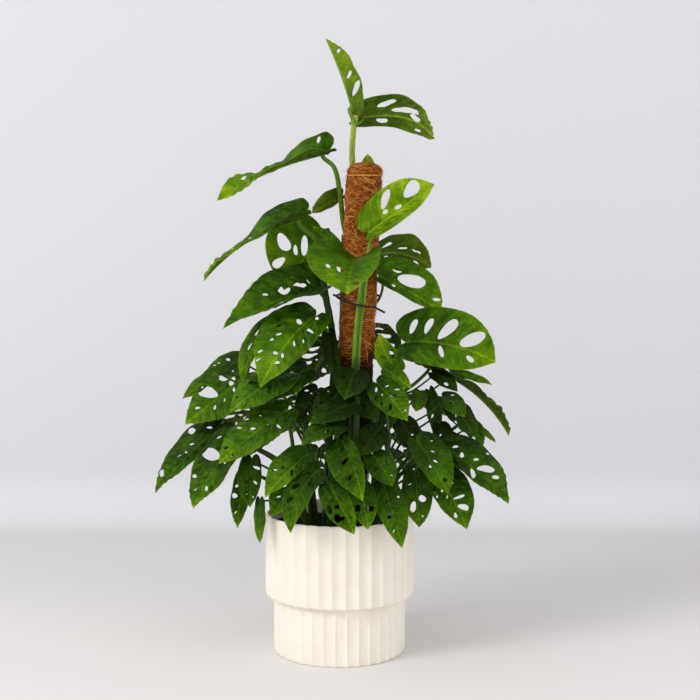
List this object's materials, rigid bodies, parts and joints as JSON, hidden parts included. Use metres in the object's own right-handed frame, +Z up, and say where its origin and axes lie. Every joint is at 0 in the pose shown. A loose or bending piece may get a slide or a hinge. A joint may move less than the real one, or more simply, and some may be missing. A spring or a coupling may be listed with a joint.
{
  "type": "monstera adansonii",
  "caption": "Potted climbing aroid with holed leaves on a leaning coir pole, in a fluted two-tier ceramic pot.",
  "frame": {"origin": "centre of the pot's flat underside, on the surface it stands on", "axes": "+Z up, along the height; -Y towards the plant's front; +X to the right as seen from the front"},
  "size_m": [0.4756, 0.3188, 0.8161],
  "materials": {
    "pot_ceramic": "matte cream glaze",
    "potting_soil": "rough dark peat",
    "stake_wood": "rough sawn",
    "coir_fibre": "loose coconut fibre",
    "coir_twine": "twisted fibre",
    "tie_plastic": "black plastic coated wire",
    "monstera_leaf": "satin green leaf and stem"
  },
  "bodies": {
    "root": {"pot": "pot_ceramic", "soil": "potting_soil", "pole_stake": "stake_wood", "pole_coir": "coir_fibre", "pole_twine": "coir_twine", "plant_tie": "tie_plastic", "shoot_tall": "monstera_leaf", "shoot_front": "monstera_leaf", "shoot_left": "monstera_leaf", "shoot_back": "monstera_leaf", "shoot_right": "monstera_leaf", "shoot_upleft": "monstera_leaf", "shoot_lowleft": "monstera_leaf", "shoot_frontleft": "monstera_leaf", "shoot_frontmid": "monstera_leaf", "shoot_lowright": "monstera_leaf", "shoot_backleft": "monstera_leaf", "shoot_backright": "monstera_leaf"}
  },
  "joints": []
}
